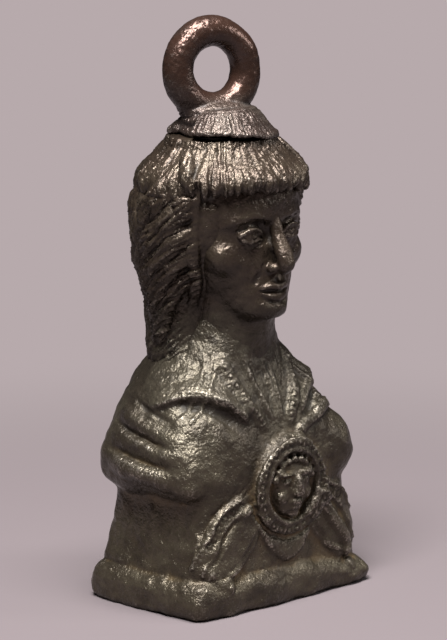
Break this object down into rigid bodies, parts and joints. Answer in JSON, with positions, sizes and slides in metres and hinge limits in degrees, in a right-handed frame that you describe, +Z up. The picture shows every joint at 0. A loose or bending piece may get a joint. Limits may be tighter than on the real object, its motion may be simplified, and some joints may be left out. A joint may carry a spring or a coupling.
{
  "type": "steelyard weight",
  "caption": "Bust-shaped bronze counterpoise filled with lead, with a suspension ring on a cap over the crown.",
  "frame": {"origin": "centre of the footprint box, on the surface that the plinth rests on", "axes": "+Z up through the suspension ring, -Y the way the face looks, +X to the bust's left hand"},
  "size_m": [0.0746, 0.0553, 0.1664],
  "materials": {
    "bust_bronze": "dark brown-olive patina, worn bright on raised parts",
    "cap_bronze": "dark reddish-brown patina, worn bright on raised parts",
    "lead": "dull grey cast lead with a pale skin",
    "solder": "dull grey soft solder"
  },
  "bodies": {
    "root": {"bust_shell": "bust_bronze", "crown_cap": "cap_bronze", "lead_core": "lead", "solder_bed": "solder"}
  },
  "joints": []
}
